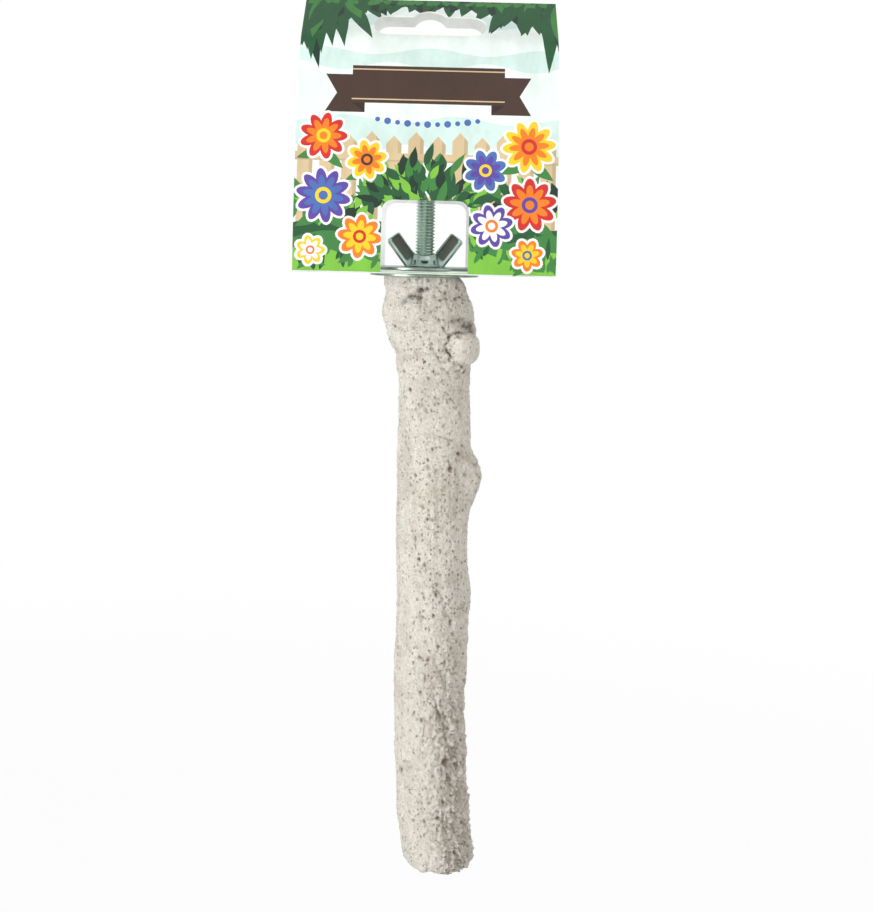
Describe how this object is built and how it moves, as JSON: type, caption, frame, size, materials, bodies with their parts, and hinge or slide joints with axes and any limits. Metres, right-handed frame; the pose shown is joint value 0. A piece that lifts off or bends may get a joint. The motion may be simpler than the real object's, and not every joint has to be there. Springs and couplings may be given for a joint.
{
  "type": "bird perch",
  "caption": "Branch-shaped perch cast in pale mineral on a threaded stud, clamped to cage wires by a wing nut between wide washers, with a folded header card that has a hang slot and a window.",
  "frame": {"origin": "on the stud's axis at the clamp plane, the top face of the lower washer", "axes": "+Z along the stud, away from the branch; -Y out of the card's front; +X to the right seen from the front"},
  "size_m": [0.0786, 0.0402, 0.271],
  "materials": {
    "cast_mineral": "rough cast, pitted, warm off-white",
    "zinc_steel": "zinc plated, slightly green grey",
    "bright_zinc": "bright zinc plated, with darker recesses",
    "printed_card": "printed and lightly coated outside, white inside"
  },
  "bodies": {
    "perch": {"perch_branch": "cast_mineral", "threaded_stud": "zinc_steel", "anchor_nut": "zinc_steel", "lower_washer": "zinc_steel"},
    "washer": {"upper_washer": "zinc_steel"},
    "nut": {"wing_nut": "bright_zinc"},
    "card": {"header_card": "printed_card"}
  },
  "joints": [
    {"name": "nut_climb", "type": "slide", "parent": "perch", "child": "washer", "axis": [0, 0, 1], "range_m": [0, 0.02]},
    {"name": "nut_turn", "type": "hinge", "parent": "washer", "child": "nut", "pos_m": [0, 0, 0], "axis": [0, 0, 1], "range_deg": [0, 7200]},
    {"name": "card_swivel", "type": "hinge", "parent": "perch", "child": "card", "pos_m": [0, 0, 0], "axis": [0, 0, 1], "continuous": true}
  ],
  "couplings": [
    {"joint": "nut_turn", "follows": "nut_climb", "rad_per_m": 6283.2}
  ]
}
